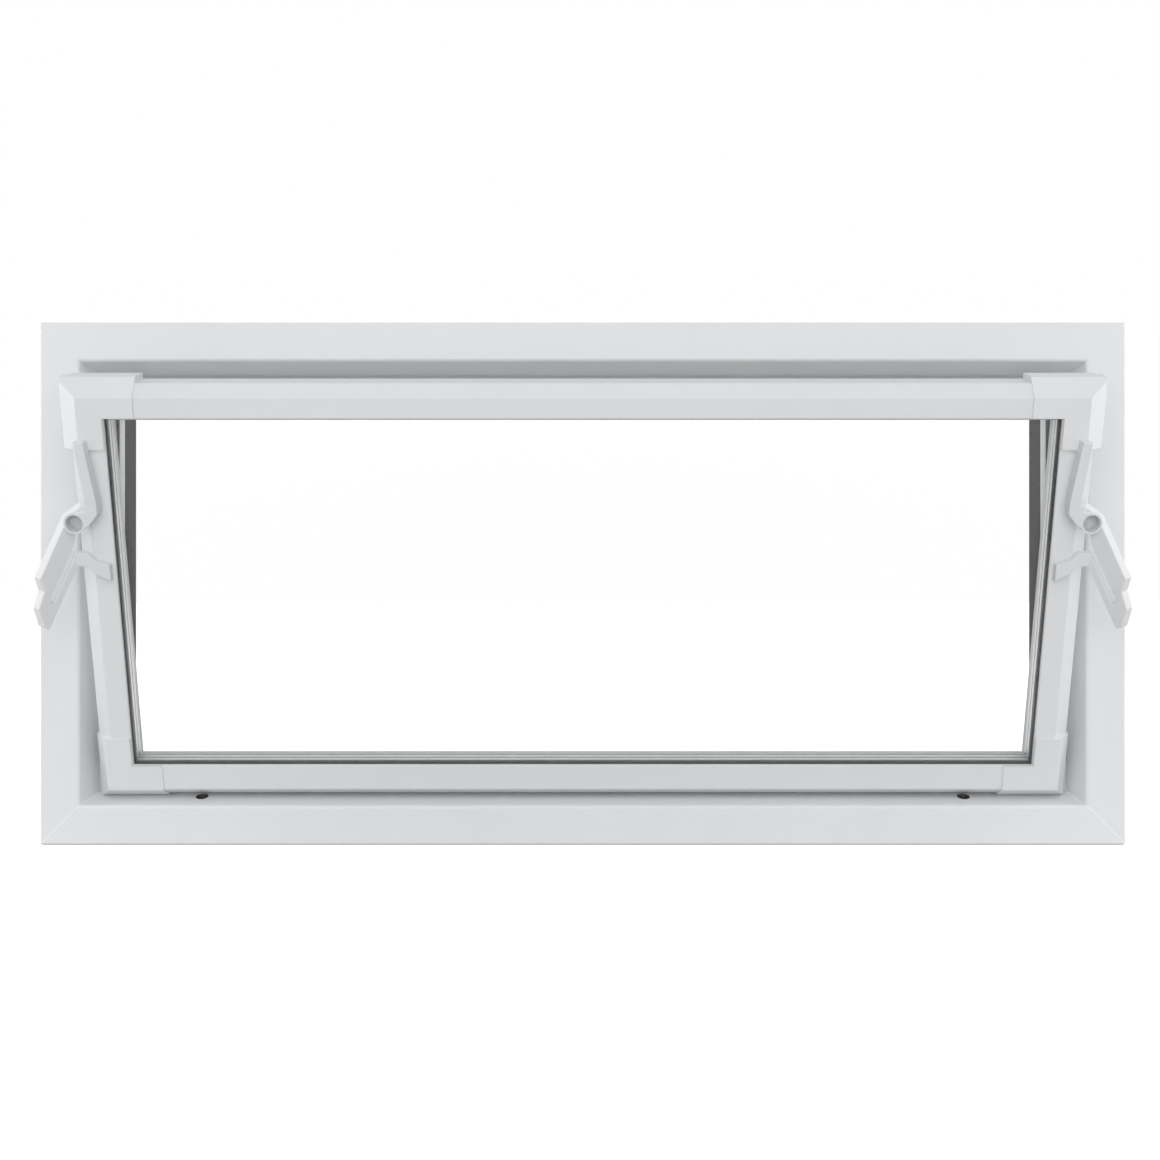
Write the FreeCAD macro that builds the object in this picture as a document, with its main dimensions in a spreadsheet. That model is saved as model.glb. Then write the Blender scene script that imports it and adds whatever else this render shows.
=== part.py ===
import FreeCAD, Part
import os
import re
import Sketcher

# Hopper window seen from the room: a mitred PVC frame, and a glazed sash that leans into the room.
# X runs along the window, Y from the room to the outside, Z up. Lengths are millimetres, angles degrees.

SIZES = [
    # Outer frame. Insets are measured from the outer edge towards the opening, depths from the room face.
    ("frame_width", "790"),
    ("frame_height", "380"),
    ("frame_depth", "70"),
    ("face_width", "28"),
    ("reveal_depth", "24"),
    ("reveal_splay", "7"),
    ("stop_depth", "38"),
    ("stop_rise", "15.8"),
    ("face_round", "3"),
    ("rim_round", "1.2"),
    ("rear_chamfer", "3"),
    ("seal_width", "5"),
    ("seal_thick", "2.5"),
    ("seal_margin", "4"),
    ("screw_spacing", "562"),
    ("screw_radius", "4.5"),
    ("screw_depth", "16"),
    # Sash and the way it sits in the frame.
    ("sash_tilt", "16"),
    ("sash_side_gap", "7"),
    ("sash_end_gap", "2"),
    ("sash_seal_gap", "0.8"),
    ("sash_sill_gap", "5.7"),
    ("sash_thick", "29"),
    ("bevel_out", "11"),
    ("bevel_back", "10.5"),
    ("foot_bevel", "7"),
    ("flat_width", "14.2"),
    ("lip_width", "0.8"),
    ("lip_drop", "0.8"),
    ("lip_back", "2.4"),
    ("pocket_reach", "10"),
    ("ridge_round", "2"),
    ("rail_step", "2.5"),
    ("corner_leg", "47"),
    ("corner_proud", "1.7"),
    # Double glazing.
    ("pane_thick", "4"),
    ("pane_gap", "9"),
    ("gasket_thick", "1.6"),
    ("gasket_proud", "0.4"),
    ("spacer_cover", "1.5"),
    # Bottom pivots.
    ("pivot_radius", "3"),
    ("pivot_up", "8"),
    ("pivot_edge", "3"),
    ("shoe_length", "12.5"),
    ("shoe_height", "23"),
    ("shoe_gap", "0.8"),
    # Latch levers, placed on the sash from its top edge and its outer side.
    ("boss_in", "3.2"),
    ("boss_drop", "96.5"),
    ("boss_radius", "7.3"),
    ("boss_hole", "6"),
    ("boss_thick", "11"),
    ("boss_floor", "1.5"),
    ("arm_thick", "9.3"),
    ("arm_width", "6.8"),
    ("arm_start", "3.9"),
    ("arm_lap", "7"),
    ("arm_foot", "8"),
    ("knee_up", "19"),
    ("hook_up", "8.5"),
    ("heel_out", "16.4"),
    ("heel_up", "6.2"),
    ("foot_up", "13.8"),
    ("toe_out", "9.8"),
    ("toe_drop", "2.1"),
    ("heel_round", "3"),
    ("mould_round", "0.8"),
    ("web_out", "9"),
    ("web_low", "5.5"),
    ("web_start", "3.3"),
    ("web_up", "14"),
    ("web_thick", "6"),
    ("web_slope", "3"),
    ("bar_thick", "7.5"),
    ("bar_roll", "50"),
    ("bar_lean", "33"),
    ("bar_sink", "8.5"),
    ("bar_outer", "15.5"),
    ("bar_inner", "7.4"),
    ("bar_top", "4"),
    ("bar_head", "8"),
    ("head_up", "3"),
    ("bar_length", "81"),
    ("bar_tip", "4.5"),
    ("tip_round", "2.5"),
    ("tooth_start", "51.5"),
    ("tooth_drop", "7"),
    ("tooth_notch", "7"),
    ("tooth_pitch", "19.5"),
    ("tooth_slant", "1.7"),
    ("tooth_round", "0.8"),
    ("slot_start", "22"),
    ("slot_end", "63.5"),
    ("slot_width", "4.1"),
    ("slot_round", "1.5"),
    ("strip_top", "24"),
    ("leaf_thick", "6"),
    ("leaf_root", "4"),
    ("leaf_drop", "22.1"),
    ("leaf_width", "9.8"),
    ("leaf_step", "5.8"),
    ("leaf_fall", "3.2"),
    ("leaf_flare", "2"),
    ("leaf_rest", "10.4"),
    ("leaf_margin", "1.7"),
    ("leaf_bend", "3"),
    # Flange on the outer side of each top corner.
    ("flange_out", "5"),
    ("flange_ridge", "8"),
    ("flange_back", "8.5"),
    ("flange_rear", "22"),
    # How far a cutting shape runs past the piece that it cuts.
    ("cut_margin", "1"),
]

DERIVED = [
    ("rebate_inset", "=face_width + reveal_splay"),
    ("stop_inset", "=rebate_inset + stop_rise"),
    ("sash_width", "=frame_width - 2 * (rebate_inset + sash_side_gap)"),
    ("sash_height", "=frame_height - 2 * (rebate_inset + sash_end_gap)"),
    ("sash_y", "=stop_depth - seal_thick - sash_seal_gap - frame_depth / 2 - sash_thick * cos(sash_tilt)"),
    ("sash_z", "=rebate_inset + sash_sill_gap - sash_thick * sin(sash_tilt)"),
    ("flat_end", "=bevel_out + flat_width"),
    ("sight_inset", "=flat_end + lip_width"),
    ("pocket_floor", "=sight_inset - pocket_reach"),
    ("front_pane_depth", "=lip_back + gasket_thick"),
    ("spacer_depth", "=front_pane_depth + pane_thick"),
    ("rear_pane_depth", "=spacer_depth + pane_gap"),
    ("rear_gasket_depth", "=rear_pane_depth + pane_thick"),
    ("pocket_back", "=rear_gasket_depth + gasket_thick"),
    ("pane_width", "=sash_width - 2 * pocket_floor"),
    ("pane_height", "=sash_height - 2 * pocket_floor"),
    ("corner_side", "=sash_width / 2 + corner_proud"),
    ("pivot_depth", "=sash_thick - pivot_edge"),
    ("jamb_wall", "=frame_width / 2 - rebate_inset"),
    ("pin_length", "=jamb_wall - corner_side"),
    ("shoe_thick", "=pin_length - shoe_gap"),
    ("boss_up", "=sash_height - boss_drop"),
    ("arm_reach", "=boss_drop - corner_leg + arm_lap"),
    ("flange_inner", "=bevel_out + ridge_round"),
    ("leaf_end", "=flat_end - leaf_margin - boss_in"),
]

NAMES = {name for name, _ in SIZES + DERIVED}
SIDES = ("bottom", "right", "top", "left")
# How near an edge has to lie to the place at which it is looked for.
TOLERANCE = 1e-4

doc = FreeCAD.newDocument("HopperWindow")
sheet = doc.addObject("Spreadsheet::Sheet", "Sizes")
finished = []


def fill_sheet():
    for row, (name, content) in enumerate(SIZES + DERIVED, start=1):
        sheet.set(f"A{row}", name)
        sheet.set(f"B{row}", content)
        sheet.setAlias(f"B{row}", name)
    doc.recompute()


def named(text):
    """Expression text in which each size name refers to the sheet."""
    return re.sub(r"[a-z][a-z_]+", lambda m: f"Sizes.{m[0]}" if m[0] in NAMES else m[0], str(text))


def value(text):
    return float(sheet.evalExpression(named(text)))


def new(kind, name, **sizes):
    """A document object with each given property bound to an expression of the sheet."""
    item = doc.addObject(kind, name)
    for prop, text in sizes.items():
        item.setExpression(prop, named(text))
    return item


def at(x=0, y=0, z=0, axis=(1, 0, 0), angle=0):
    """Expression of a placement, from a position and a turn about an axis."""
    turn = "; ".join(str(part) for part in axis)
    return f"placement(vector({x}; {y}; {z}); rotation(vector({turn}); {angle}))"


def put(item, *places):
    item.setExpression("Placement", named(" * ".join(places)))
    return item


def finish(item, label):
    item.Label = label
    finished.append(item)
    return item


# The frame's own axes start at the middle of the sill's underside, on the room face.
IN_FRAME = at(y="-frame_depth / 2")
# The sash's axes start at the middle of its bottom edge, on its front face, and lean with it.
IN_SASH = at(y="sash_y", z="sash_z", angle="sash_tilt")
# A bar is drawn with its depth along X, its inset along Y and its length along Z.
BAR_TURN = at(axis=(1, 1, 1), angle=120)
# A plate is drawn in X and Y, and its thickness comes towards the room.
PLATE_TURN = at(angle=90)


def side_place(side, width, height):
    """Placements that lay a bar's axes along one side of a rectangle, with the bar's start at a corner."""
    quarter = SIDES.index(side)
    across = "-" if side in ("bottom", "left") else ""
    up = height if side in ("top", "left") else 0
    return at(x=f"{across}{width} / 2", z=up, axis=(0, 1, 0), angle=-90 * quarter), BAR_TURN


def side_length(side, width, height):
    return width if side in ("bottom", "top") else height


def outline(name, points):
    """A closed sketch of straight lines with both coordinates of each corner bound to the sheet."""
    sketch = doc.addObject("Sketcher::SketchObject", name)
    corners = [FreeCAD.Vector(value(x), value(y), 0) for x, y in points]
    count = len(corners)
    for index in range(count):
        sketch.addGeometry(Part.LineSegment(corners[index], corners[(index + 1) % count]))
    for index in range(count):
        sketch.addConstraint(Sketcher.Constraint("Coincident", index, 2, (index + 1) % count, 1))
    for index, (x, y) in enumerate(points):
        for kind, text, start in (("DistanceX", x, corners[index].x), ("DistanceY", y, corners[index].y)):
            place = sketch.addConstraint(Sketcher.Constraint(kind, -1, 1, index, 1, start))
            sketch.setExpression(f"Constraints[{place}]", named(text))
    return sketch


def prism(name, points, length):
    """The outline pushed along Z."""
    body = new("Part::Extrusion", name, LengthFwd=length)
    body.Base = outline(f"{name}_outline", points)
    body.DirMode = "Custom"
    body.Dir = FreeCAD.Vector(0, 0, 1)
    body.Solid = True
    doc.recompute()
    return body


def fillet(base, name, edges):
    item = doc.addObject("Part::Fillet", name)
    item.Base = base
    item.Edges = edges
    doc.recompute()
    return item


def rounded(base, spots):
    """The prism with its long edges at the given outline corners rounded."""
    edges = []
    for x, y, radius in spots:
        for index, edge in enumerate(base.Shape.Edges, start=1):
            ends = [vertex.Point for vertex in edge.Vertexes]
            if all(abs(end.x - value(x)) + abs(end.y - value(y)) < TOLERANCE for end in ends):
                edges.append((index, value(radius), value(radius)))
    return fillet(base, f"{base.Name}_rounded", edges)


def edges_between(plate, height, corners):
    """Numbers of the edges of a plate's front face whose two ends are both among the given corners."""
    spots = [FreeCAD.Vector(value(x), value(y), value(height)) for x, y in corners]
    return [index for index, edge in enumerate(plate.Shape.Edges, start=1)
            if all(any(vertex.Point.isEqual(spot, TOLERANCE) for spot in spots) for vertex in edge.Vertexes)]


def softened(base, height, radius):
    """The plate with all edges of its front face rounded."""
    edges = []
    for index, edge in enumerate(base.Shape.Edges, start=1):
        if all(abs(vertex.Z - value(height)) < TOLERANCE for vertex in edge.Vertexes):
            edges.append((index, value(radius), value(radius)))
    return fillet(base, f"{base.Name}_softened", edges)


def boolean(kind, name, base, tool):
    item = doc.addObject(kind, name)
    item.Base = base
    item.Tool = tool
    return item


def fuse(name, pieces):
    item = doc.addObject("Part::MultiFuse", name)
    item.Shapes = pieces
    item.Refine = True
    return item


def mitre_wedge(name, depth, reach, length, start="reach", end="reach"):
    """A bar of rectangular section whose ends are cut at 45 degrees, or square where the cut is 0."""
    first = reach if start == "reach" else 0
    last = reach if end == "reach" else 0
    return new("Part::Wedge", name, Xmin="0", Xmax=depth, X2min="0", X2max=depth, Ymin="0", Ymax=reach,
               Zmin="0", Zmax=length, Z2min=first, Z2max=f"{length} - ({last})")


def mitred_strip(label, side, place, size, section):
    """A mitred strip of rectangular section along one side of a rectangle of the given size."""
    width, height = size
    depth, thick, inset, reach = section
    length = f"{side_length(side, width, height)} - 2 * ({inset})"
    strip = mitre_wedge(label, thick, reach, length)
    put(strip, place, *side_place(side, width, height), at(x=depth, y=inset, z=inset))
    return finish(strip, label)


def frame_members():
    """Four bars of one profile: face, splayed reveal, rebate and the stop that the sash closes on."""
    profile = [
        ("0", "0"),
        ("0", "face_width"),
        ("reveal_depth", "rebate_inset"),
        ("stop_depth", "rebate_inset"),
        ("stop_depth", "stop_inset"),
        ("frame_depth - rear_chamfer", "stop_inset"),
        ("frame_depth", "stop_inset - rear_chamfer"),
        ("frame_depth", "0"),
    ]
    labels = {"bottom": "frame_sill", "right": "frame_right_jamb", "top": "frame_head",
              "left": "frame_left_jamb"}
    for side in SIDES:
        label = labels[side]
        length = side_length(side, "frame_width", "frame_height")
        bar = prism(f"{label}_bar", profile, length)
        bar = rounded(bar, [("0", "face_width", "face_round"), ("0", "0", "rim_round")])
        member = boolean("Part::Common", f"{label}_mitred", bar,
                         mitre_wedge(f"{label}_mitre", "frame_depth", "stop_inset", length))
        if side == "bottom":
            member = boolean("Part::Cut", f"{label}_drilled", member, screw_holes())
        put(member, IN_FRAME, *side_place(side, "frame_width", "frame_height"))
        finish(member, label)


def screw_holes():
    """Two holes down through the sill for the screws that hold the frame in the wall."""
    holes = []
    for name, sign in (("screw_hole_left", "-"), ("screw_hole_right", "+")):
        hole = new("Part::Cylinder", name, Radius="screw_radius", Height="stop_inset + 2 * cut_margin")
        along = f"frame_width / 2 {sign} screw_spacing / 2"
        put(hole, at(x="screw_depth", y="-cut_margin", z=along, angle=-90))
        holes.append(hole)
    return fuse("screw_holes", holes)


def frame_seals():
    """Soft strips on the room side of the stop."""
    section = ("stop_depth - seal_thick", "seal_thick", "stop_inset - seal_margin - seal_width", "seal_width")
    for side in SIDES:
        mitred_strip(f"frame_seal_{side}", side, IN_FRAME, ("frame_width", "frame_height"), section)


def sash_profile(grow, bevel, trim="0"):
    """Bevelled section with a glazing pocket, grown outwards and forwards, in axes that start at its corner.

    Its outer edge is set back by the trim, where the bevel ends sooner.
    """
    return [
        ("0", f"{bevel} + {grow}"),
        ("0", f"flat_end + {grow}"),
        (f"lip_drop + {grow}", f"sight_inset + {grow}"),
        (f"lip_back + {grow}", f"sight_inset + {grow}"),
        (f"lip_back + {grow}", f"pocket_floor + {grow}"),
        (f"pocket_back + {grow}", f"pocket_floor + {grow}"),
        (f"pocket_back + {grow}", f"sight_inset + {grow}"),
        (f"sash_thick + {grow}", f"sight_inset + {grow}"),
        (f"sash_thick + {grow}", trim),
        (f"bevel_back * (1 - {trim} / {bevel}) + {grow}", trim),
    ]


def sash_bars():
    """Rails and stiles, cut square where they end in the corner pieces.

    The top rail's edge is set back, and the bottom rail has the narrower bevel of the bottom corners.
    """
    labels = {"bottom": "sash_bottom_rail", "right": "sash_right_stile", "top": "sash_top_rail",
              "left": "sash_left_stile"}
    for side in SIDES:
        label = labels[side]
        length = f"{side_length(side, 'sash_width', 'sash_height')} - 2 * corner_leg"
        bevel = "foot_bevel" if side == "bottom" else "bevel_out"
        profile = sash_profile("0", bevel, "rail_step" if side == "top" else "0")
        bar = rounded(prism(f"{label}_bar", profile, length), [("0", bevel, "ridge_round")])
        put(bar, IN_SASH, *side_place(side, "sash_width", "sash_height"), at(z="corner_leg"))
        finish(bar, label)


def corner_legs(name, bevel, *places):
    """Two mitred legs that stand a little proud of the rails, meeting at the outer corner."""
    reach = "sight_inset + corner_proud"
    depth = "sash_thick + corner_proud"
    length = "corner_leg + corner_proud"
    profile = sash_profile("corner_proud", bevel)
    shift = at(x="-corner_proud", y="-corner_proud", z="-corner_proud")
    upright = at(z=length, axis=(0, 1, 0), angle=90)
    legs = []
    for leg, start, end, turn in (("along", "reach", "square", ()),
                                  ("upright", "square", "reach", (upright,))):
        bar = rounded(prism(f"{name}_{leg}", profile, length),
                      [("0", f"{bevel} + corner_proud", "ridge_round")])
        wedge = mitre_wedge(f"{name}_{leg}_mitre", depth, reach, length, start, end)
        cut = boolean("Part::Common", f"{name}_{leg}_cut", bar, wedge)
        legs.append(put(cut, *places, shift, *turn, BAR_TURN))
    return legs


def corner_flange(name):
    """Flange that widens a top corner at its side. Its sloped front mitres with the bevel of the top."""
    plan = [
        ("flange_inner", "-corner_proud"),
        ("flange_inner", "flange_rear"),
        ("-flange_out", "flange_rear"),
        ("-flange_out", "flange_back"),
        ("flange_ridge", "-corner_proud"),
    ]
    front, top = "-corner_proud", "sash_height + corner_proud"
    low = "sash_height - corner_leg"
    side = [
        (front, low),
        (front, "sash_height - bevel_out"),
        ("bevel_back", top),
        ("flange_rear", top),
        ("flange_rear", low),
    ]
    upright = prism(f"{name}_flange_plan", plan, "corner_leg + corner_proud")
    along = prism(f"{name}_flange_side", side, "flange_out + flange_inner")
    flange = boolean("Part::Common", f"{name}_flange", put(upright, at(z=low)),
                     put(along, at(x="-flange_out"), BAR_TURN))
    return put(flange, at(x="-sash_width / 2"))


def sash_corners():
    """Moulded corner pieces. The top ones have a flange on their outer side, beside the latch arm."""
    for label, quarter, across in (("sash_corner_bottom_left", 0, "-"), ("sash_corner_bottom_right", 1, "")):
        place = at(x=f"{across}sash_width / 2", axis=(0, 1, 0), angle=-90 * quarter)
        finish(put(fuse(label, corner_legs(label, "foot_bevel", place)), IN_SASH), label)
    label = "sash_corner_top_left"
    place = at(x="-sash_width / 2", z="sash_height", axis=(0, 1, 0), angle=90)
    corner = fuse(label, corner_legs(label, "bevel_out", place) + [corner_flange(label)])
    finish(put(corner, IN_SASH), label)
    finish(mirrored("sash_corner_top_right", corner), "sash_corner_top_right")


def mirrored(name, source):
    """The same piece on the other side of the window's middle."""
    item = doc.addObject("Part::Mirroring", name)
    item.Source = source
    item.Normal = FreeCAD.Vector(1, 0, 0)
    return item


def glazing():
    """Two panes, the spacer between them and the gaskets that hold them in the pocket."""
    size = ("sash_width", "sash_height")
    for label, depth in (("inner_glass", "front_pane_depth"), ("outer_glass", "rear_pane_depth")):
        pane = new("Part::Box", label, Length="pane_width", Width="pane_thick", Height="pane_height")
        put(pane, IN_SASH, at(x="-pane_width / 2", y=depth, z="pocket_floor"))
        finish(pane, label)
    for side in SIDES:
        mitred_strip(f"front_gasket_{side}", side, IN_SASH, size,
                     ("lip_back", "gasket_thick", "pocket_floor", "pocket_reach + gasket_proud"))
        mitred_strip(f"spacer_{side}", side, IN_SASH, size,
                     ("spacer_depth", "pane_gap", "pocket_floor + spacer_cover", "pocket_reach"))
        mitred_strip(f"rear_gasket_{side}", side, IN_SASH, size,
                     ("rear_gasket_depth", "gasket_thick", "pocket_floor", "pocket_reach"))


def latch_arm():
    """Spring arm that hangs from the top corner and hooks round the boss."""
    shape = [
        ("arm_start", "arm_reach"),
        ("arm_start + arm_width", "arm_reach"),
        ("heel_out", "foot_up"),
        ("heel_out", "heel_up"),
        ("toe_out", "-toe_drop"),
        ("0", "-boss_radius"),
        ("0", "boss_radius"),
        ("arm_foot", "hook_up"),
        ("arm_foot", "knee_up"),
    ]
    heel = [(x, y, "heel_round") for x, y in shape[3:5]]
    arm = rounded(prism("latch_arm", shape, "arm_thick"), heel)
    return put(softened(arm, "arm_thick", "mould_round"), at(z="corner_proud"))


def latch_web():
    """Low web in the crook between the arm and the boss, with its upper edges sloped."""
    shape = [
        ("-web_out", "web_low"),
        ("0", "0"),
        ("arm_foot", "0"),
        ("arm_foot", "web_up"),
        ("web_start", "web_up"),
    ]
    plate = prism("latch_web", shape, "web_thick")
    web = doc.addObject("Part::Chamfer", "latch_web_sloped")
    web.Base = plate
    web.Edges = [(index, value("web_slope"), value("web_slope"))
                 for index in edges_between(plate, "web_thick", [shape[0], shape[3], shape[4]])]
    doc.recompute()
    return put(web, at(z="corner_proud"))


def latch_bar():
    """Flat bar below the boss, rolled towards the middle: two teeth, and a slot beside a thin strip."""
    left, right = "-slot_width / 2", "slot_width / 2"
    shape = [
        ("-bar_outer", "-bar_top"),
        ("-bar_outer", "-tooth_start"),
        ("tooth_drop - bar_outer", "-tooth_start - tooth_notch"),
        ("tooth_drop + tooth_slant - bar_outer", "-tooth_start - tooth_pitch"),
        ("bar_inner - bar_tip", "-bar_length"),
        ("bar_inner", "-bar_length"),
        ("bar_inner", "-strip_top"),
        (right, "-strip_top"),
        (right, "-slot_end"),
        (left, "-slot_end"),
        (left, "-slot_start"),
        ("-bar_head", "head_up"),
    ]
    rounds = [(x, y, "tooth_round") for x, y in shape[1:4]]
    rounds += [(x, y, "tip_round") for x, y in shape[4:6]]
    rounds += [(x, y, "slot_round") for x, y in shape[8:10]]
    bar = rounded(prism("latch_bar", shape, "bar_thick"), rounds)
    return put(softened(bar, "bar_thick", "mould_round"), at(z="-bar_sink", axis=(0, 1, 0), angle="bar_roll"),
               at(axis=(0, 0, 1), angle="-bar_lean"))


def latch_leaf():
    """S-shaped leaf from the strip beside the slot to the flat of the stile, on which its end rests."""
    shape = [
        ("-leaf_root", "-leaf_drop"),
        ("leaf_rest - leaf_step", "-leaf_drop"),
        ("leaf_rest", "-leaf_drop - leaf_step"),
        ("leaf_end", "-leaf_drop - leaf_step - leaf_fall"),
        ("leaf_end", "-leaf_drop - leaf_step - leaf_fall - leaf_width - leaf_flare"),
        ("leaf_rest", "-leaf_drop - leaf_step - leaf_width"),
        ("leaf_rest - leaf_step", "-leaf_drop - leaf_width"),
        ("-leaf_root", "-leaf_drop - leaf_width"),
    ]
    bends = shape[1:3] + shape[5:7]
    leaf = rounded(prism("latch_leaf", shape, "leaf_thick"), [(x, y, "leaf_bend") for x, y in bends])
    return softened(leaf, "leaf_thick", "mould_round")


def latch_levers():
    """One moulding on each stile: arm, blind hollow boss, slotted bar and leaf."""
    boss = new("Part::Cylinder", "latch_boss", Radius="boss_radius", Height="boss_thick")
    bore = new("Part::Cylinder", "latch_bore", Radius="boss_hole", Height="boss_thick")
    put(bore, at(z="boss_floor"))
    moulding = fuse("latch_moulding", [latch_arm(), latch_web(), boss, latch_bar(), latch_leaf()])
    lever = boolean("Part::Cut", "latch_lever_left", moulding, bore)
    lever.Refine = False
    put(lever, IN_SASH, at(x="boss_in - sash_width / 2", z="boss_up"), PLATE_TURN)
    finish(lever, "latch_lever_left")
    finish(mirrored("latch_lever_right", lever), "latch_lever_right")


def pivots():
    """Pins on the bottom corners, each in a shoe that stands in the frame's rebate."""
    pin = new("Part::Cylinder", "pivot_pin_left", Radius="pivot_radius", Height="pin_length")
    in_sash = (IN_SASH, at(x="-jamb_wall", y="pivot_depth", z="pivot_up", axis=(0, 1, 0), angle=90))
    finish(put(pin, *in_sash), "pivot_pin_left")
    finish(mirrored("pivot_pin_right", pin), "pivot_pin_right")
    block = new("Part::Box", "pivot_block", Length="shoe_thick", Width="shoe_length", Height="shoe_height")
    put(block, at(x="-jamb_wall", y="stop_depth - frame_depth / 2 - shoe_length", z="rebate_inset"))
    hole = put(new("Part::Cylinder", "pivot_hole", Radius="pivot_radius", Height="pin_length"), *in_sash)
    shoe = finish(boolean("Part::Cut", "pivot_shoe_left", block, hole), "pivot_shoe_left")
    finish(mirrored("pivot_shoe_right", shoe), "pivot_shoe_right")


def export():
    os.makedirs("parts", exist_ok=True)
    for item in finished:
        shape = item.Shape
        if "Invalid" in item.State or not shape.isValid() or len(shape.Solids) != 1:
            raise RuntimeError(f"{item.Label}: {item.State}, {len(shape.Solids)} solids")
        shape.exportStep(f"parts/{item.Label}.step")
        print(item.Label, round(shape.Volume), shape.BoundBox)


def main():
    fill_sheet()
    frame_members()
    frame_seals()
    sash_bars()
    sash_corners()
    glazing()
    latch_levers()
    pivots()
    doc.recompute()
    export()


main()
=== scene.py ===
import math
import bpy
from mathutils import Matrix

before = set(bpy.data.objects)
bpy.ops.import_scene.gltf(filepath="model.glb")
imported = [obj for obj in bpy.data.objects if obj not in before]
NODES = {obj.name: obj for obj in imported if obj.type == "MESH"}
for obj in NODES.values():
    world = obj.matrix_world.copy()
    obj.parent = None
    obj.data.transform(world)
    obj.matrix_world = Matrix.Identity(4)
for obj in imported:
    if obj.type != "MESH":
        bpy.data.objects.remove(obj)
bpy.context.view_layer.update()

# Sizes of the frame and the sash that the materials and the floor follow, in metres and radians.
FRAME_WIDTH = 0.790
FRAME_HEIGHT = 0.380
FRAME_DEPTH = 0.070
RIM = 0.003
STOP_INSET = 0.0508
STOP_FRONT = 0.003
PAINTED_SHADE_EDGE = 0.0004
SCREW_AWAY = 0.281
SCREW_DEPTH = -0.019
SCREW_RADIUS = 0.0046
SASH_TILT = math.radians(16)
SASH_FOOT = (-0.02818, 0.03271)
SPACER_MIDDLE = 0.0125

# Colours as linear red, green and blue.
FRAME_WHITE = (0.80, 0.81, 0.82)
SASH_WHITE = (0.77, 0.78, 0.79)
CORNER_WHITE = (0.78, 0.79, 0.80)
LEVER_WHITE = (0.74, 0.75, 0.76)
PIVOT_GREY = (0.66, 0.67, 0.68)
WELD_WHITE = (0.90, 0.905, 0.91)
# Painted shade: the dark colour painted on the inner side of the stop and in the screw holes of the sill.
PAINTED_SHADE_DARK = (0.07, 0.07, 0.072)
GASKET_BLACK = (0.085, 0.085, 0.088)
REAR_GASKET_GREY = (0.22, 0.22, 0.225)
SEAL_BLACK = (0.05, 0.05, 0.052)
SPACER_DULL = (0.56, 0.57, 0.58)
SPACER_BRIGHT = (0.68, 0.69, 0.70)
SEAM_GREY = (0.22, 0.22, 0.225)
GLASS_TINT = (0.996, 0.999, 0.998)
FLOOR_DULL = (0.60, 0.60, 0.60)
FLOOR_PALE = (0.64, 0.64, 0.64)
FLOOR_BEHIND = (0.85, 0.85, 0.85)
WHITE = (1.0, 1.0, 1.0)

# Gloss of the plastics, and of the painted shade on the inner side of the stop, which is matt.
PLASTIC_GLOSS = 0.35
PAINTED_SHADE_GLOSS = 0.05
PAINTED_SHADE_ROUGHNESS = 0.8
# How far noise is drawn out along a bar to make lines of extrusion.
LINE_SQUEEZE = 0.03

# Camera of the photograph: square to the frame, a little over a metre from its room face.
CAMERA_PLACE = (-0.002, -1.135, 0.1925)
CAMERA_LENS = 46.9
CAMERA_SENSOR = 36.0

# Strength of the soft light all round, at which the white of the frame renders about as it is written.
WORLD_LEVEL = 0.5
# Share of that light which is left for what stands behind the glass.
BEHIND_GLASS = 0.8
# The floor's half width, and how far it lies below the sill.
FLOOR_REACH = 12.0
FLOOR_DROP = 0.0005
# Glow that the floor shows to the camera: less beside the window, so that its shadow stays, and more beyond.
FLOOR_GLOW_NEAR = 0.52
FLOOR_GLOW_FAR = 0.80
FLOOR_NEAR = 0.5
FLOOR_FAR = 0.9
# Share of the floor's glow that reflections show.
MIRRORED_GLOW = 0.3

# Soft lamps: place, aim, width and height in metres, power in watts, and whether reflections show the lamp.
LAMPS = {
    "front": ((0.0, -1.9, 0.40), (0.0, 0.0, 0.30), (2.2, 0.5), 9.5, True),
    "top": ((0.0, -1.4, 1.30), (0.0, 0.0, 0.30), (1.8, 0.9), 7.0, True),
    "rear": ((0.0, 2.2, 0.60), (0.0, 0.0, 0.19), (1.0, 0.6), 12.0, False),
    "left_side": ((-0.85, -0.09, 0.42), (-0.3, -0.09, 0.30), (0.22, 0.5), 1.35, True),
    "right_side": ((0.85, -0.09, 0.42), (0.3, -0.09, 0.30), (0.22, 0.5), 1.35, True),
}


# Places of the factor, the two colours and the result among the sockets of a Mix node.
MIX_COLOUR_INPUTS = (0, 6, 7)
MIX_COLOUR_OUTPUT = 2


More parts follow.
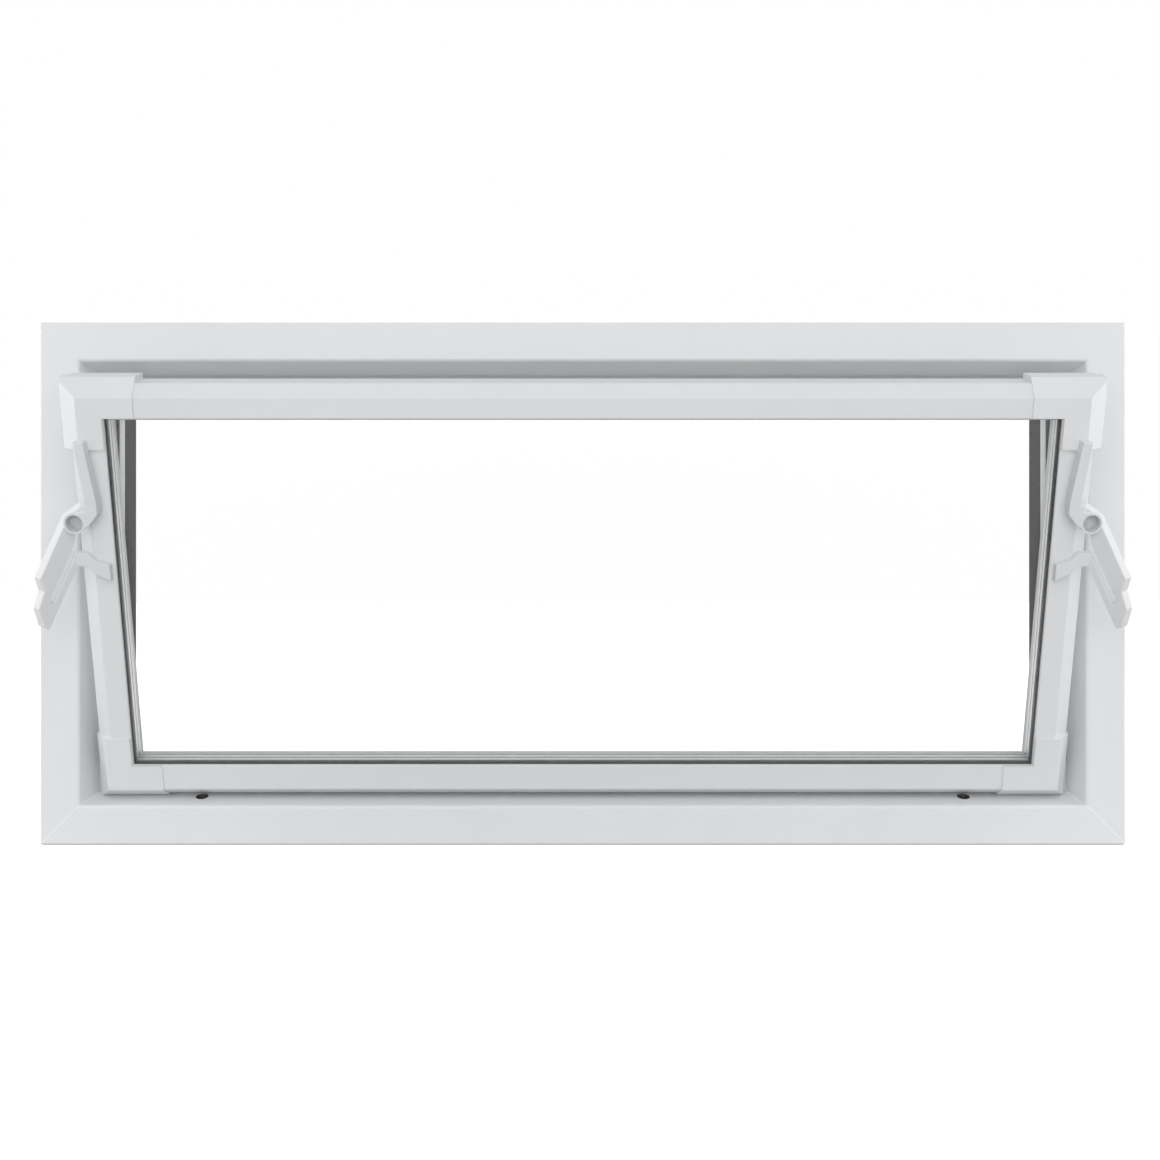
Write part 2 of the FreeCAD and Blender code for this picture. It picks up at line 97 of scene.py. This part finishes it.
class Nodes:
    """A node tree with short calls to add nodes and link them."""

    def __init__(self, tree):
        self.tree = tree
        tree.nodes.clear()

    def put(self, socket, value):
        """A link from another node's output, or else a plain value."""
        if isinstance(value, bpy.types.NodeSocket):
            self.tree.links.new(value, socket)
        else:
            socket.default_value = value

    def add(self, kind, values=None, **props):
        node = self.tree.nodes.new(kind)
        for name, value in props.items():
            setattr(node, name, value)
        for name, value in (values or {}).items():
            self.put(node.inputs[name], value)
        return node

    def place(self):
        """Coordinates in the part's own frame."""
        return self.add("ShaderNodeTexCoord").outputs["Object"]

    def split(self, vector):
        """The three coordinates of a vector."""
        return self.add("ShaderNodeSeparateXYZ", {"Vector": vector}).outputs

    def math(self, operation, first, second=0.0):
        return self.add("ShaderNodeMath", {0: first, 1: second}, operation=operation).outputs[0]

    def spread(self, value, low, high, out_low, out_high, smooth=False):
        """The value taken from one range to another, held at its ends."""
        kind = "SMOOTHSTEP" if smooth else "LINEAR"
        values = {"Value": value, "From Min": low, "From Max": high, "To Min": out_low, "To Max": out_high}
        return self.add("ShaderNodeMapRange", values, interpolation_type=kind).outputs["Result"]

    def noise(self, place, scale, detail=3.0, roughness=0.55):
        values = {"Vector": place, "Scale": scale, "Detail": detail, "Roughness": roughness}
        return self.add("ShaderNodeTexNoise", values).outputs["Fac"]

    def mix(self, factor, first, second):
        node = self.add("ShaderNodeMix", data_type="RGBA")
        for slot, value in zip(MIX_COLOUR_INPUTS, (factor, first, second)):
            self.put(node.inputs[slot], value)
        return node.outputs[MIX_COLOUR_OUTPUT]

    def bump(self, height, strength, distance, before=None):
        values = {"Height": height, "Strength": strength, "Distance": distance}
        if before is not None:
            values["Normal"] = before
        return self.add("ShaderNodeBump", values).outputs["Normal"]


def colour(base, share=1.0):
    """An opaque colour for a socket, scaled by a share."""
    return (*[part * share for part in base], 1.0)


def new_material(name):
    material = bpy.data.materials.new(name)
    material.use_nodes = True
    return material, Nodes(material.node_tree)


def close(nodes, shader):
    nodes.add("ShaderNodeOutputMaterial", {"Surface": shader.outputs[0]})


def place_along(nodes, axis):
    """Coordinates squeezed along a bar's length, so that noise turns into faint lines of extrusion."""
    place = nodes.place()
    turn = (-SASH_TILT, 0.0, 0.0) if axis == "stile" else (0.0, 0.0, 0.0)
    scale = (LINE_SQUEEZE, 1.0, 1.0) if axis == "x" else (1.0, 1.0, LINE_SQUEEZE)
    turned = nodes.add("ShaderNodeMapping", {"Vector": place, "Rotation": turn}).outputs["Vector"]
    return place, nodes.add("ShaderNodeMapping", {"Vector": turned, "Scale": scale}).outputs["Vector"]


def from_rim(nodes, where):
    """How far a point lies in from the frame's nearer side, and from its nearer of top and bottom."""
    across = nodes.math("SUBTRACT", FRAME_WIDTH / 2, nodes.math("ABSOLUTE", where["X"]))
    up = nodes.math("MINIMUM", where["Z"], nodes.math("SUBTRACT", FRAME_HEIGHT, where["Z"]))
    return across, up


def weld_line(nodes, place):
    """One along the diagonal weld at each bottom corner of the frame, less at the top, zero elsewhere."""
    where = nodes.split(place)
    across, up = from_rim(nodes, where)
    offset = nodes.math("ABSOLUTE", nodes.math("SUBTRACT", across, up))
    line = nodes.spread(offset, 0.0003, 0.0010, 1.0, 0.0, smooth=True)
    return nodes.math("MULTIPLY", line, nodes.spread(where["Z"], 0.1, 0.3, 1.0, 0.25))


def screw_hole_shade(nodes, place):
    """One on the walls of the two screw holes, which run into the hollow chambers of the sill; their dark
    colour is painted shade.
    """
    where = nodes.split(place)
    along = nodes.math("SUBTRACT", nodes.math("ABSOLUTE", where["X"]), SCREW_AWAY)
    back = nodes.math("SUBTRACT", where["Y"], SCREW_DEPTH)
    square = nodes.math("ADD", nodes.math("MULTIPLY", along, along), nodes.math("MULTIPLY", back, back))
    low = nodes.math("LESS_THAN", where["Z"], FRAME_HEIGHT / 2)
    return nodes.math("MULTIPLY", nodes.math("LESS_THAN", square, SCREW_RADIUS ** 2), low)


def stop_painted_shade(nodes, place):
    """One on the inner side of the stop all round the opening, where shade is painted as a dark matt colour.
    """
    where = nodes.split(place)
    inset = nodes.math("MINIMUM", *from_rim(nodes, where))
    inner = nodes.math("GREATER_THAN", inset, STOP_INSET - PAINTED_SHADE_EDGE)
    behind = nodes.math("GREATER_THAN", where["Y"], STOP_FRONT + PAINTED_SHADE_EDGE)
    return nodes.math("MULTIPLY", inner, behind)


def extruded_pvc(name, base, axis, welded=False):
    """Smooth white extrusion with faint lines along its length and a slight unevenness of gloss."""
    material, nodes = new_material(name)
    place, along = place_along(nodes, axis)
    cloud = nodes.noise(place, 9.0)
    lines = nodes.noise(along, 420.0, detail=2.0)
    tint = nodes.mix(nodes.spread(cloud, 0.3, 0.7, 0.0, 1.0), colour(base, 0.975), colour(base))
    rough = nodes.spread(nodes.math("ADD", cloud, lines), 0.6, 1.4, 0.30, 0.40)
    normal = nodes.bump(lines, 0.10, 0.0002)
    normal = nodes.bump(nodes.noise(place, 160.0, detail=2.0), 0.06, 0.0006, normal)
    gloss = PLASTIC_GLOSS
    if welded:
        seam = weld_line(nodes, place)
        tint = nodes.mix(seam, tint, colour(WELD_WHITE))
        # Painted shade: the inner side of the stop is painted dark and matt, as if it were in shade.
        stop_shade = stop_painted_shade(nodes, place)
        tint = nodes.mix(stop_shade, tint, colour(PAINTED_SHADE_DARK))
        rough = nodes.math("MAXIMUM", rough, nodes.math("MULTIPLY", stop_shade, PAINTED_SHADE_ROUGHNESS))
        gloss = nodes.spread(stop_shade, 0.0, 1.0, PLASTIC_GLOSS, PAINTED_SHADE_GLOSS)
        # Painted shade: the walls of the screw holes in the sill are painted dark.
        tint = nodes.mix(screw_hole_shade(nodes, place), tint, colour(PAINTED_SHADE_DARK))
        normal = nodes.bump(seam, 0.35, 0.0003, normal)
    shader = nodes.add("ShaderNodeBsdfPrincipled", {"Base Color": tint, "Roughness": rough, "Normal": normal,
                                                    "IOR": 1.5, "Specular IOR Level": gloss})
    close(nodes, shader)
    return material


def moulded_plastic(name, base, grain, rough_low, rough_high):
    """Injection-moulded plastic with a fine eroded texture and slightly uneven colour."""
    material, nodes = new_material(name)
    place = nodes.place()
    cloud = nodes.noise(place, 22.0)
    speck = nodes.noise(place, grain, detail=4.0, roughness=0.65)
    tint = nodes.mix(nodes.spread(cloud, 0.3, 0.7, 0.0, 1.0), colour(base, 0.965), colour(base))
    rough = nodes.spread(speck, 0.3, 0.7, rough_low, rough_high)
    normal = nodes.bump(speck, 0.12, 0.00012)
    normal = nodes.bump(cloud, 0.08, 0.0015, normal)
    shader = nodes.add("ShaderNodeBsdfPrincipled", {"Base Color": tint, "Roughness": rough, "Normal": normal,
                                                    "IOR": 1.48, "Specular IOR Level": PLASTIC_GLOSS})
    close(nodes, shader)
    return material


def rubber(name, base, axis):
    """Matt extruded rubber with fine lines and a trace of bloom."""
    material, nodes = new_material(name)
    place, along = place_along(nodes, axis)
    lines = nodes.noise(along, 1400.0, detail=2.0)
    bloom = nodes.noise(place, 60.0, detail=4.0)
    tint = nodes.mix(nodes.spread(bloom, 0.35, 0.75, 0.0, 1.0), colour(base), colour(base, 1.5))
    rough = nodes.spread(bloom, 0.3, 0.7, 0.55, 0.75)
    normal = nodes.bump(lines, 0.25, 0.0001)
    shader = nodes.add("ShaderNodeBsdfPrincipled", {"Base Color": tint, "Roughness": rough, "Normal": normal,
                                                    "IOR": 1.5, "Specular IOR Level": 0.3})
    close(nodes, shader)
    return material


def spacer_seam(nodes, place):
    """One along the folded seam in the middle of the spacer, half way between the panes."""
    where = nodes.split(place)
    foot_y, foot_z = SASH_FOOT
    back = nodes.math("MULTIPLY", nodes.math("SUBTRACT", where["Y"], foot_y), math.cos(SASH_TILT))
    rise = nodes.math("MULTIPLY", nodes.math("SUBTRACT", where["Z"], foot_z), math.sin(SASH_TILT))
    depth = nodes.math("ADD", back, rise)
    offset = nodes.math("ABSOLUTE", nodes.math("SUBTRACT", depth, SPACER_MIDDLE))
    return nodes.spread(offset, 0.0006, 0.0012, 1.0, 0.0, smooth=True)


def spacer_metal(name):
    """Satin aluminium strip with a dark seam along the middle of the side that faces the glass gap."""
    material, nodes = new_material(name)
    place = nodes.place()
    grain = nodes.noise(place, 900.0, detail=3.0)
    seam = spacer_seam(nodes, place)
    tint = nodes.mix(grain, colour(SPACER_DULL), colour(SPACER_BRIGHT))
    tint = nodes.mix(seam, tint, colour(SEAM_GREY))
    rough = nodes.spread(grain, 0.3, 0.7, 0.34, 0.5)
    normal = nodes.bump(grain, 0.15, 0.0001)
    normal = nodes.bump(nodes.math("SUBTRACT", 1.0, seam), 0.5, 0.0003, normal)
    shader = nodes.add("ShaderNodeBsdfPrincipled", {"Base Color": tint, "Roughness": rough, "Normal": normal,
                                                    "Metallic": 0.9})
    close(nodes, shader)
    return material


def window_glass(name):
    """Clear glass with hardly any tint and weak reflections, very slightly wavy, that lets lamps through."""
    material, nodes = new_material(name)
    place = nodes.place()
    wave = nodes.noise(place, 5.0, detail=1.0)
    rough = nodes.spread(nodes.noise(place, 40.0), 0.3, 0.7, 0.0, 0.012)
    normal = nodes.bump(wave, 0.01, 0.0006)
    solid = nodes.add("ShaderNodeBsdfPrincipled", {"Base Color": colour(GLASS_TINT), "Roughness": rough,
                                                   "Normal": normal, "IOR": 1.3, "Specular IOR Level": 0.15,
                                                   "Transmission Weight": 1.0})
    slant = nodes.add("ShaderNodeLayerWeight", {"Blend": 0.5}).outputs["Facing"]
    passed = nodes.spread(nodes.math("POWER", slant, 5.0), 0.0, 1.0, 0.95, 0.0)
    clear = nodes.add("ShaderNodeBsdfTransparent", {"Color": passed})
    shadow = nodes.add("ShaderNodeLightPath").outputs["Is Shadow Ray"]
    close(nodes, nodes.add("ShaderNodeMixShader", {0: shadow, 1: solid.outputs[0], 2: clear.outputs[0]}))
    return material


def dress_nodes():
    """A material for each CAD node."""
    head_sill = extruded_pvc("frame_pvc_along", FRAME_WHITE, "x", welded=True)
    jambs = extruded_pvc("frame_pvc_upright", FRAME_WHITE, "z", welded=True)
    rails = extruded_pvc("sash_pvc_along", SASH_WHITE, "x")
    stiles = extruded_pvc("sash_pvc_upright", SASH_WHITE, "stile")
    corners = moulded_plastic("corner_plastic", CORNER_WHITE, 2600.0, 0.36, 0.5)
    levers = moulded_plastic("lever_plastic", LEVER_WHITE, 2200.0, 0.36, 0.5)
    pivots = moulded_plastic("pivot_plastic", PIVOT_GREY, 1800.0, 0.4, 0.55)
    glass = window_glass("clear_glass")
    metal = spacer_metal("spacer_metal")
    sash_axes, frame_axes = ("x", "stile"), ("x", "z")
    gaskets = {axis: rubber(f"gasket_rubber_{axis}", GASKET_BLACK, axis) for axis in sash_axes}
    rear_gaskets = {axis: rubber(f"rear_gasket_rubber_{axis}", REAR_GASKET_GREY, axis) for axis in sash_axes}
    seals = {axis: rubber(f"seal_rubber_{axis}", SEAL_BLACK, axis) for axis in frame_axes}
    chosen = {
        "frame_head": head_sill, "frame_sill": head_sill, "frame_left_jamb": jambs, "frame_right_jamb": jambs,
        "sash_top_rail": rails, "sash_bottom_rail": rails, "sash_left_stile": stiles,
        "sash_right_stile": stiles, "inner_glass": glass, "outer_glass": glass,
    }
    for name in NODES:
        level = name.endswith(("bottom", "top"))
        if name.startswith("sash_corner"):
            chosen[name] = corners
        elif name.startswith("latch_lever"):
            chosen[name] = levers
        elif name.startswith("pivot"):
            chosen[name] = pivots
        elif name.startswith("spacer"):
            chosen[name] = metal
        elif name.startswith("front_gasket"):
            chosen[name] = gaskets["x" if level else "stile"]
        elif name.startswith("rear_gasket"):
            chosen[name] = rear_gaskets["x" if level else "stile"]
        elif name.startswith("frame_seal"):
            chosen[name] = seals["x" if level else "z"]
    for name, item in NODES.items():
        item.data.materials.clear()
        item.data.materials.append(chosen[name])


def seen_rays(nodes):
    """Whether a ray shows the background to the camera, straight or through glass, or as a reflection.

    The third answer is the share of the light that reaches what stands behind the glass.
    """
    path = nodes.add("ShaderNodeLightPath")
    direct = nodes.math("LESS_THAN", path.outputs["Diffuse Depth"], 0.5)
    through = nodes.math("MULTIPLY", path.outputs["Is Transmission Ray"], direct)
    glossy = nodes.math("MULTIPLY", path.outputs["Is Glossy Ray"], direct)
    share = nodes.spread(path.outputs["Is Transmission Ray"], 0.0, 1.0, 1.0, BEHIND_GLASS)
    return nodes.math("MAXIMUM", path.outputs["Is Camera Ray"], through), glossy, share


def studio_world():
    """White to the camera and through the glass, dim in reflections, and soft light from all round."""
    world = bpy.data.worlds.new("studio")
    bpy.context.scene.world = world
    world.use_nodes = True
    nodes = Nodes(world.node_tree)
    direction = nodes.add("ShaderNodeTexCoord").outputs["Generated"]
    back = nodes.split(direction)["Y"]
    room = nodes.spread(back, -0.2, 0.4, 1.0, 0.95, smooth=True)
    ahead = nodes.spread(back, -0.2, 0.2, 0.5, 0.1, smooth=True)
    seen, glossy, share = seen_rays(nodes)
    lit = nodes.math("MULTIPLY", nodes.math("MULTIPLY", room, share), WORLD_LEVEL)
    shown = nodes.math("MAXIMUM", seen, nodes.math("MULTIPLY", glossy, ahead))
    strength = nodes.math("MAXIMUM", lit, shown)
    shader = nodes.add("ShaderNodeBackground", {"Color": colour(WHITE), "Strength": strength})
    nodes.add("ShaderNodeOutputWorld", {"Surface": shader.outputs[0]})


def soft_lamp(name, place, aim, size, power, glints):
    """A rectangle of light that the camera doesn't see, aimed at a point."""
    data = bpy.data.lights.new(name, "AREA")
    data.shape = "RECTANGLE"
    data.size, data.size_y = size
    data.energy = power
    lamp = bpy.data.objects.new(name, data)
    bpy.context.scene.collection.objects.link(lamp)
    lamp.location = place
    way = [goal - start for goal, start in zip(aim, place)]
    flat = math.hypot(way[0], way[1])
    lamp.rotation_euler = (math.atan2(flat, -way[2]), 0.0, math.atan2(way[1], way[0]) - math.pi / 2)
    lamp.visible_camera = False
    lamp.visible_transmission = False
    lamp.visible_glossy = glints


def pale_floor():
    """Floor under the sill, white to the camera apart from the window's faint shadow."""
    mesh = bpy.data.meshes.new("floor")
    ends = ((-1, -1), (1, -1), (1, 1), (-1, 1))
    corners = [(along * FLOOR_REACH, back * FLOOR_REACH, -FLOOR_DROP) for along, back in ends]
    mesh.from_pydata(corners, [], [(0, 1, 2, 3)])
    floor = bpy.data.objects.new("floor", mesh)
    bpy.context.scene.collection.objects.link(floor)
    material, nodes = new_material("floor_pale")
    place = nodes.place()
    where = nodes.split(place)
    beside = nodes.math("GREATER_THAN", nodes.math("ABSOLUTE", where["X"]), FRAME_WIDTH / 2)
    before = nodes.math("GREATER_THAN", nodes.math("ABSOLUTE", where["Y"]), FRAME_DEPTH / 2 - RIM)
    open_floor = nodes.math("MAXIMUM", beside, before)
    seen, glossy, _ = seen_rays(nodes)
    mirrored = nodes.math("MULTIPLY", glossy, MIRRORED_GLOW)
    shown = nodes.math("MULTIPLY", nodes.math("MAXIMUM", seen, mirrored), open_floor)
    away = nodes.add("ShaderNodeVectorMath", {0: place}, operation="LENGTH").outputs["Value"]
    level = nodes.spread(away, FLOOR_NEAR, FLOOR_FAR, FLOOR_GLOW_NEAR, FLOOR_GLOW_FAR, smooth=True)
    cloud = nodes.noise(place, 3.0)
    near = nodes.mix(cloud, colour(FLOOR_DULL), colour(FLOOR_PALE))
    tint = nodes.mix(nodes.spread(where["Y"], -0.5, 0.2, 0.0, 1.0), near, colour(FLOOR_BEHIND))
    diffuse = nodes.add("ShaderNodeBsdfDiffuse", {"Color": tint})
    glow = nodes.add("ShaderNodeEmission", {"Strength": nodes.math("MULTIPLY", shown, level)})
    both = nodes.add("ShaderNodeAddShader", {0: diffuse.outputs[0], 1: glow.outputs[0]})
    close(nodes, both)
    mesh.materials.append(material)


def photo_camera():
    """The camera of the photograph."""
    data = bpy.data.cameras.new("camera")
    data.lens = CAMERA_LENS
    data.sensor_width = CAMERA_SENSOR
    camera = bpy.data.objects.new("camera", data)
    camera.location = CAMERA_PLACE
    camera.rotation_euler = (math.pi / 2, 0.0, 0.0)
    bpy.context.scene.collection.objects.link(camera)
    bpy.context.scene.camera = camera


dress_nodes()
studio_world()
for lamp_name, settings in LAMPS.items():
    soft_lamp(lamp_name, *settings)
pale_floor()
photo_camera()
bpy.context.scene.view_settings.view_transform = "Standard"
